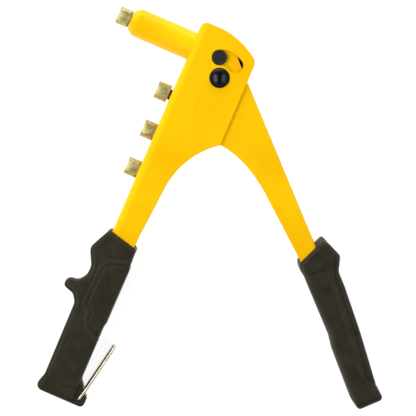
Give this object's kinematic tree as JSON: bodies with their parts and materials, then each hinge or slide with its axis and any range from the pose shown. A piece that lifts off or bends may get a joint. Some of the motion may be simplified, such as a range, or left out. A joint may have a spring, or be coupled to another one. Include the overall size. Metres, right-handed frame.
{
  "type": "hand riveter",
  "caption": "Long-handled hand riveter with a folded-sheet body, barrel and nosepiece, spare nosepieces on the handle, moulded grips and a wire latch.",
  "frame": {"origin": "centre of the fitted nosepiece's front face, on the barrel's axis", "axes": "+X runs back along the barrel, +Y away from the handles, +Z is the thickness; the tool lies on its side"},
  "size_m": [0.2359, 0.2412, 0.026],
  "materials": {
    "yellow_paint": "glossy powder coat",
    "grip_plastic": "moulded, satin",
    "black_gloss": "gloss black, domed",
    "black_satin": "satin black oxide",
    "yellow_zinc": "yellow zinc plate, mottled",
    "bright_wire": "bright nickel plate",
    "plain_steel": "machined",
    "hard_steel": "hardened",
    "spring_wire": "drawn wire"
  },
  "bodies": {
    "root": {"frame": "yellow_paint", "barrel": "yellow_paint", "barrel_nut": "plain_steel", "fixed_grip": "grip_plastic", "pivot_pin": "black_gloss", "pivot_cap": "black_gloss", "pivot_spacer": "plain_steel", "return_spring": "spring_wire"},
    "lever": {"lever": "yellow_paint", "lever_grip": "grip_plastic", "pull_pin": "black_satin", "pull_pin_cap": "black_satin"},
    "puller": {"pull_head": "plain_steel", "jaw_case": "plain_steel", "jaw_spring": "spring_wire"},
    "pusher": {"jaw_pusher": "hard_steel"},
    "jaw_1": {"jaw_1": "hard_steel"},
    "jaw_2": {"jaw_2": "hard_steel"},
    "jaw_3": {"jaw_3": "hard_steel"},
    "nosepiece": {"nosepiece_fitted": "yellow_zinc"},
    "spare_1": {"spare_nosepiece_1": "yellow_zinc"},
    "spare_2": {"spare_nosepiece_2": "yellow_zinc"},
    "spare_3": {"spare_nosepiece_3": "yellow_zinc"},
    "latch": {"wire_latch": "bright_wire"}
  },
  "joints": [
    {"name": "lever_hinge", "type": "hinge", "parent": "root", "child": "lever", "pos_m": [0.0708, -0.0113, 0], "axis": [0, 0, -1], "range_deg": [0, 43.5], "stiffness_Nm_per_rad": 0.05, "springref_deg": -17.19, "deforming": ["return_spring"]},
    {"name": "pull_slide", "type": "slide", "parent": "root", "child": "puller", "axis": [1, 0, 0], "range_m": [-0.0002, 0.0095]},
    {"name": "latch_swing", "type": "hinge", "parent": "root", "child": "latch", "pos_m": [0.0692, -0.2206, 0], "axis": [0, 0, -1], "range_deg": [-12, 115]},
    {"name": "jaw_push", "type": "slide", "parent": "puller", "child": "pusher", "axis": [1, 0, 0], "range_m": [0, 0.002], "stiffness_N_per_m": 100, "springref_m": -0.005, "deforming": ["jaw_spring"]},
    {"name": "jaw_1_slide", "type": "slide", "parent": "puller", "child": "jaw_1", "axis": [0.9903, 0.1392, 0], "range_m": [-0.0001, 0.0022]},
    {"name": "jaw_2_slide", "type": "slide", "parent": "puller", "child": "jaw_2", "axis": [0.9903, -0.0696, 0.1205], "range_m": [-0.0001, 0.0022]},
    {"name": "jaw_3_slide", "type": "slide", "parent": "puller", "child": "jaw_3", "axis": [0.9903, -0.0696, -0.1205], "range_m": [-0.0001, 0.0022]},
    {"name": "nosepiece_unscrew", "type": "slide", "parent": "root", "child": "nosepiece", "axis": [-1, 0, 0], "range_m": [0, 0.02]},
    {"name": "spare_1_unscrew", "type": "slide", "parent": "root", "child": "spare_1", "axis": [-1, 0, 0], "range_m": [0, 0.02]},
    {"name": "spare_2_unscrew", "type": "slide", "parent": "root", "child": "spare_2", "axis": [-1, 0, 0], "range_m": [0, 0.02]},
    {"name": "spare_3_unscrew", "type": "slide", "parent": "root", "child": "spare_3", "axis": [-1, 0, 0], "range_m": [0, 0.02]}
  ],
  "couplings": [
    {"joint": "jaw_1_slide", "follows": "jaw_push", "ratio": 1.0098},
    {"joint": "jaw_2_slide", "follows": "jaw_push", "ratio": 1.0098},
    {"joint": "jaw_3_slide", "follows": "jaw_push", "ratio": 1.0098},
    {"joint": "pull_slide", "follows": "lever_hinge", "m_per_rad": 0.011975}
  ]
}
